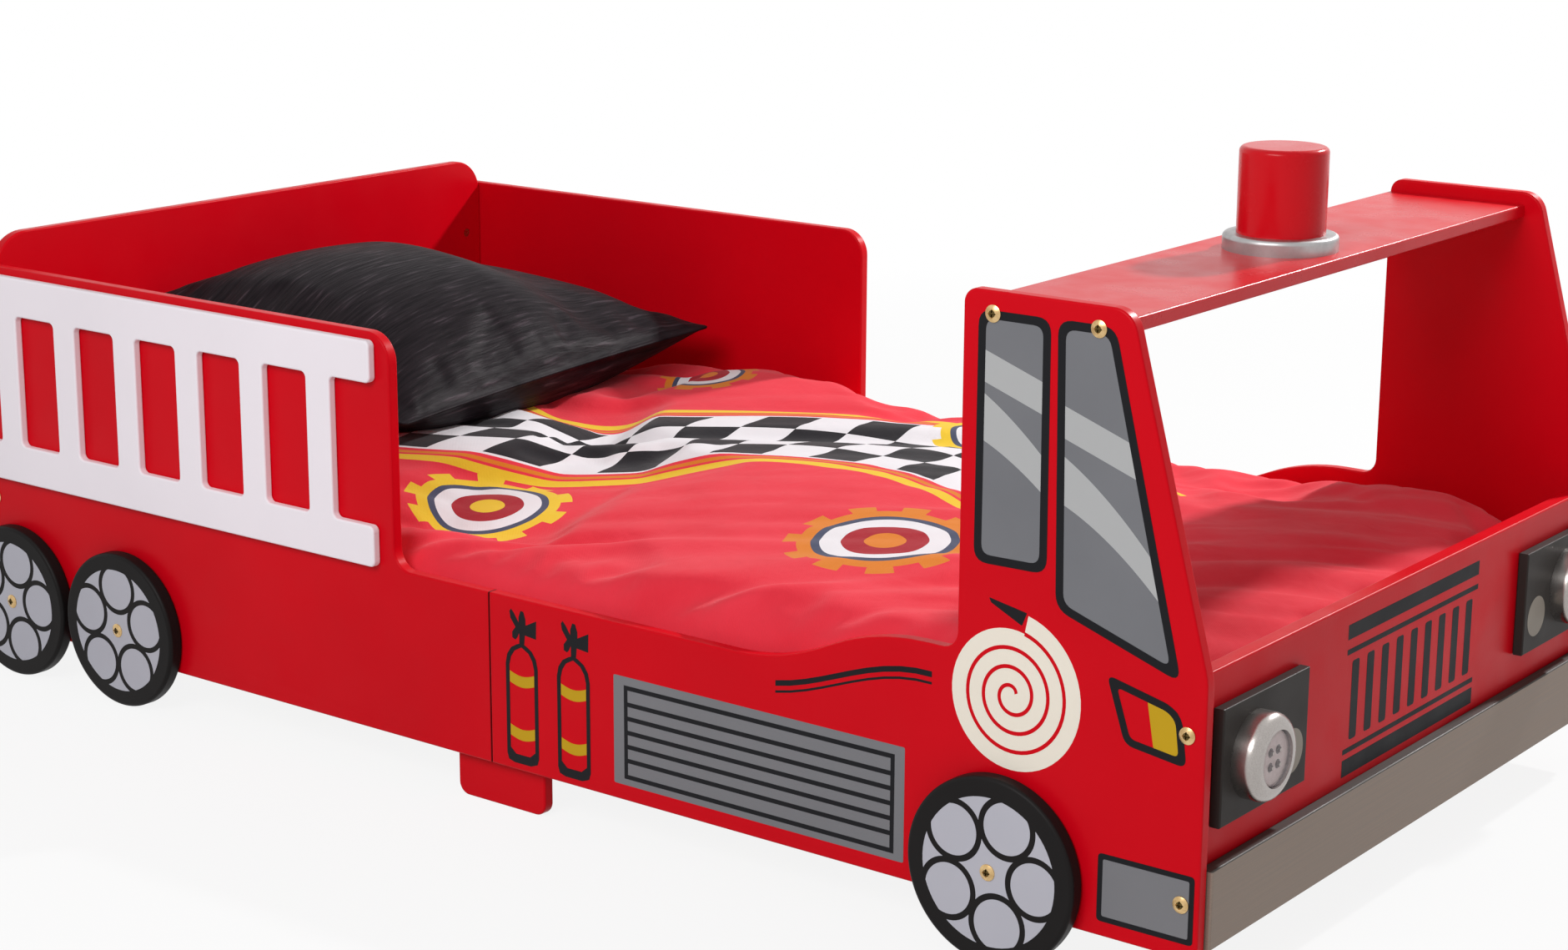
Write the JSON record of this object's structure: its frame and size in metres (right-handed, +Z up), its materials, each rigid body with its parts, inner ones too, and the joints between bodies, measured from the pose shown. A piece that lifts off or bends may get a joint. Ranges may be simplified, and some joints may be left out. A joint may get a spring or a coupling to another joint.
{
  "type": "toddler bed",
  "caption": "Toddler bed shaped like a fire engine: painted boards with a cab frame at the foot, side ladders, wheel discs, press lights, a slatted base and bedding.",
  "frame": {"origin": "on the floor, under the middle of the bed's length and width", "axes": "+X to the front of the vehicle, the foot end with the cab; +Y to the vehicle's left; +Z up"},
  "size_m": [1.515, 0.788, 0.628],
  "materials": {
    "red_paint": "satin paint on fibreboard",
    "white_paint": "satin paint on fibreboard",
    "black_paint": "satin paint on fibreboard",
    "charcoal_paint": "satin paint on fibreboard",
    "taupe_paint": "satin metallic paint on fibreboard",
    "silver_paint": "metallic paint on turned wood",
    "pine": "planed, unpainted",
    "silver_plastic": "silver lacquer",
    "clear_plastic": "frosted",
    "led_plastic": "clear",
    "circuit_board": "lacquered",
    "dark_plastic": "matt",
    "battery_can": "printed sleeve, plain",
    "brass": "yellow plated",
    "steel": "zinc plated",
    "white_cotton": "woven ticking",
    "printed_cotton": "printed, matt",
    "charcoal_satin": "satin with fine pleats"
  },
  "bodies": {
    "bed": {"barrel_nuts": "brass", "beacon_lamp": "red_paint", "beacon_ring": "silver_paint", "beacon_screw": "steel", "bumper_board": "taupe_paint", "cab_roof": "red_paint", "duvet": "printed_cotton", "front_panel": "red_paint", "headboard": "red_paint", "headlight_plate_left": "charcoal_paint", "headlight_plate_right": "charcoal_paint", "ladder_left": "white_paint", "ladder_right": "white_paint", "leg_screws": "steel", "light_base_left": "dark_plastic", "light_base_right": "dark_plastic", "light_batteries_left": "battery_can", "light_batteries_right": "battery_can", "light_housing_left": "silver_plastic", "light_housing_right": "silver_plastic", "light_switch_left": "dark_plastic", "light_switch_right": "dark_plastic", "mattress": "white_cotton", "mid_beam": "pine", "mid_leg_left": "red_paint", "mid_leg_right": "red_paint", "panel_bolts": "brass", "pillow": "charcoal_satin", "rail_screws": "steel", "side_panel_front_left": "red_paint", "side_panel_front_right": "red_paint", "side_panel_rear_left": "red_paint", "side_panel_rear_right": "red_paint", "slat_1": "pine", "slat_10": "pine", "slat_2": "pine", "slat_3": "pine", "slat_4": "pine", "slat_5": "pine", "slat_6": "pine", "slat_7": "pine", "slat_8": "pine", "slat_9": "pine", "slat_rail_front_left": "pine", "slat_rail_front_right": "pine", "slat_rail_rear_left": "pine", "slat_rail_rear_right": "pine", "wheel_bolts": "brass", "wheel_front_left": "black_paint", "wheel_front_right": "black_paint", "wheel_rear_left": "black_paint", "wheel_rear_right": "black_paint", "wheel_second_left": "black_paint", "wheel_second_right": "black_paint"},
    "light_button_right": {"light_lens_right": "clear_plastic", "light_leds_right": "led_plastic", "light_board_right": "circuit_board"},
    "light_button_left": {"light_lens_left": "clear_plastic", "light_leds_left": "led_plastic", "light_board_left": "circuit_board"}
  },
  "joints": [
    {"name": "light_press_right", "type": "slide", "parent": "bed", "child": "light_button_right", "axis": [-1, 0, 0], "range_m": [0, 0.0025], "stiffness_N_per_m": 400},
    {"name": "light_press_left", "type": "slide", "parent": "bed", "child": "light_button_left", "axis": [-1, 0, 0], "range_m": [0, 0.0025], "stiffness_N_per_m": 400}
  ]
}
